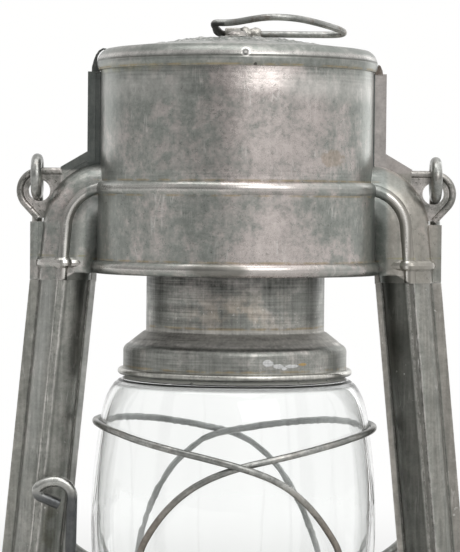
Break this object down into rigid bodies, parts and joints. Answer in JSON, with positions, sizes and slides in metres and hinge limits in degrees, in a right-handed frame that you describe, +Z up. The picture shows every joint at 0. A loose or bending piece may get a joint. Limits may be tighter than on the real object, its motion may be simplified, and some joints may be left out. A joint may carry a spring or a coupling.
{
  "type": "hurricane lantern",
  "caption": "Small oil lantern with a tall storm hood, side air tubes, lifting glass globe, flat-wick burner, round fuel tank and a wire bail.",
  "frame": {"origin": "centre of the tank's base, on the surface that the lantern stands on", "axes": "+Z up, X through the two side air tubes, -Y is the front; the globe lever is at -X"},
  "size_m": [0.1476, 0.1268, 0.2694],
  "materials": {
    "hood_tin": "aged tinned sheet, dull, with brown staining in the seams",
    "inner_tin": "tinned sheet, sooted inside",
    "tube_tin": "aged tinned sheet, darker, grey brown",
    "tank_tin": "aged tinned sheet with light scratches",
    "fitting_steel": "dull steel fittings",
    "wire_steel": "drawn steel wire, tarnished",
    "burner_brass": "dull brass",
    "clear_glass": "clear pressed glass",
    "cotton_wick": "woven cotton, charred at the top",
    "gasket_cork": "dark gasket"
  },
  "bodies": {
    "root": {"hood_front": "hood_tin", "hood_rear": "hood_tin", "hood_lid": "hood_tin", "throat_plate": "inner_tin", "ear_left": "fitting_steel", "ear_right": "fitting_steel", "air_tube_left": "tube_tin", "air_tube_right": "tube_tin", "air_chamber": "tube_tin", "tank_body": "tank_tin", "tank_base": "tank_tin", "filler_neck": "tank_tin", "burner_seat": "burner_brass", "burner_base": "burner_brass", "burner_cone": "burner_brass", "wick_tube": "burner_brass", "lever_bracket": "fitting_steel", "lever_pin": "fitting_steel"},
    "globe_cage": {"globe_plate": "hood_tin", "guard_wire_left": "wire_steel", "guard_wire_right": "wire_steel", "globe_glass": "clear_glass"},
    "chimney": {"chimney_skirt": "hood_tin", "chimney_tube": "inner_tin", "chimney_bridge": "inner_tin", "pull_shank": "fitting_steel", "ring_strap": "fitting_steel"},
    "lift_ring": {"lift_ring": "wire_steel"},
    "globe_lever": {"globe_lever": "wire_steel"},
    "bail": {"bail": "wire_steel"},
    "wick_knob": {"wick_shaft": "burner_brass", "star_wheels": "burner_brass", "wick_knob": "burner_brass"},
    "wick": {"wick": "cotton_wick"},
    "filler_cap": {"filler_cap": "tank_tin", "cap_gasket": "gasket_cork"}
  },
  "joints": [
    {"name": "globe_lift", "type": "slide", "parent": "root", "child": "globe_cage", "axis": [0, 0, 1], "range_m": [0, 0.02]},
    {"name": "chimney_pull", "type": "slide", "parent": "globe_cage", "child": "chimney", "axis": [0, 0, 1], "range_m": [0, 0.01]},
    {"name": "ring_fold", "type": "hinge", "parent": "chimney", "child": "lift_ring", "pos_m": [0, 0.0054, 0.26456], "axis": [-1, 0, 0], "range_deg": [-10, 163]},
    {"name": "lever_turn", "type": "hinge", "parent": "root", "child": "globe_lever", "pos_m": [-0.049, -0.0132, 0.06125], "axis": [0, -1, 0], "range_deg": [0, 50.5]},
    {"name": "bail_swing", "type": "hinge", "parent": "root", "child": "bail", "pos_m": [0, 0, 0.2211], "axis": [1, 0, 0], "range_deg": [0, 318]},
    {"name": "knob_turn", "type": "hinge", "parent": "root", "child": "wick_knob", "pos_m": [-0.00352, -0.00296, 0.047], "axis": [0.6428, -0.766, 0], "range_deg": [-92.9, 92.9]},
    {"name": "wick_slide", "type": "slide", "parent": "root", "child": "wick", "axis": [0, 0, 1], "range_m": [-0.006, 0.006]},
    {"name": "cap_turn", "type": "hinge", "parent": "root", "child": "filler_cap", "pos_m": [-0.02696, -0.0385, 0.046], "axis": [0, 0, 1], "range_deg": [0, 540]}
  ],
  "couplings": [
    {"joint": "lever_turn", "follows": "globe_lift", "rad_per_m": 43.633},
    {"joint": "wick_slide", "follows": "knob_turn", "m_per_rad": 0.0037}
  ]
}
